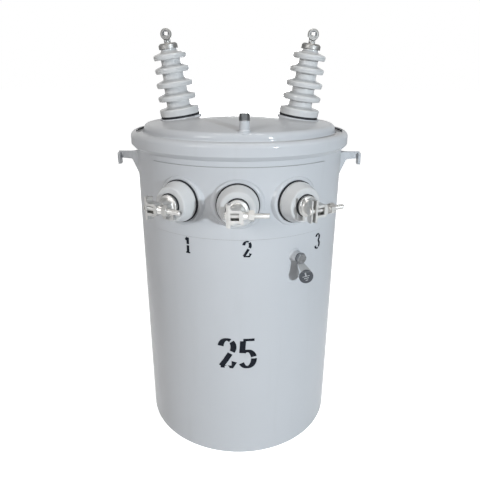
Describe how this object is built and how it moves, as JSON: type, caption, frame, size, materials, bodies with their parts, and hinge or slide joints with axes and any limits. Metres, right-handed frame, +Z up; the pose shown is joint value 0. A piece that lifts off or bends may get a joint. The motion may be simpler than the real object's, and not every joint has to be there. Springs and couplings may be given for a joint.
{
  "type": "pole mounted transformer",
  "caption": "Upright cylindrical pole mounted transformer with clamped domed cover, tilted shed bushings, side clamp terminals, lifting lugs and slotted pole hangers.",
  "frame": {"origin": "ground level on the tank axis, where the skirt of the tank stands", "axes": "+Z up along the tank axis; -Y towards the low-voltage terminals; +Y towards the pole"},
  "size_m": [0.584, 0.6116, 0.9591],
  "materials": {
    "tank_paint": "light grey gloss paint",
    "porcelain": "light grey glaze",
    "gasket_rubber": "black nitrile",
    "tinned_bronze": "tin plated",
    "zinc_hardware": "zinc plated",
    "dark_zinc": "dark galvanized",
    "tag_paint": "dark grey satin"
  },
  "bodies": {
    "root": {"band_bolt": "zinc_hardware", "band_ear_left": "tank_paint", "band_ear_right": "tank_paint", "band_nut": "zinc_hardware", "clamp_band": "tank_paint", "cover": "tank_paint", "cover_gasket": "gasket_rubber", "ground_bolt": "zinc_hardware", "ground_boss": "tank_paint", "ground_tag": "tag_paint", "hanger_lower": "tank_paint", "hanger_upper": "tank_paint", "hv_bushing_left": "porcelain", "hv_bushing_right": "porcelain", "hv_cap_left": "tinned_bronze", "hv_cap_right": "tinned_bronze", "hv_gasket_left": "gasket_rubber", "hv_gasket_right": "gasket_rubber", "hv_terminal_left": "tinned_bronze", "hv_terminal_right": "tinned_bronze", "lifting_lug_left": "tank_paint", "lifting_lug_right": "tank_paint", "lv_bushing_1": "porcelain", "lv_bushing_2": "porcelain", "lv_bushing_3": "porcelain", "lv_clamp_1": "tinned_bronze", "lv_clamp_2": "tinned_bronze", "lv_clamp_3": "tinned_bronze", "lv_clamp_bolt_1": "tinned_bronze", "lv_clamp_bolt_2": "tinned_bronze", "lv_clamp_bolt_3": "tinned_bronze", "lv_gasket_1": "gasket_rubber", "lv_gasket_2": "gasket_rubber", "lv_gasket_3": "gasket_rubber", "lv_nut_1": "tinned_bronze", "lv_nut_2": "tinned_bronze", "lv_nut_3": "tinned_bronze", "lv_panel": "tank_paint", "lv_washer_1": "gasket_rubber", "lv_washer_2": "gasket_rubber", "lv_washer_3": "gasket_rubber", "plug_bolt": "dark_zinc", "plug_stub": "tank_paint", "tank_bottom": "tank_paint", "tank_rim": "tank_paint", "tank_wall": "tank_paint"}
  },
  "joints": []
}
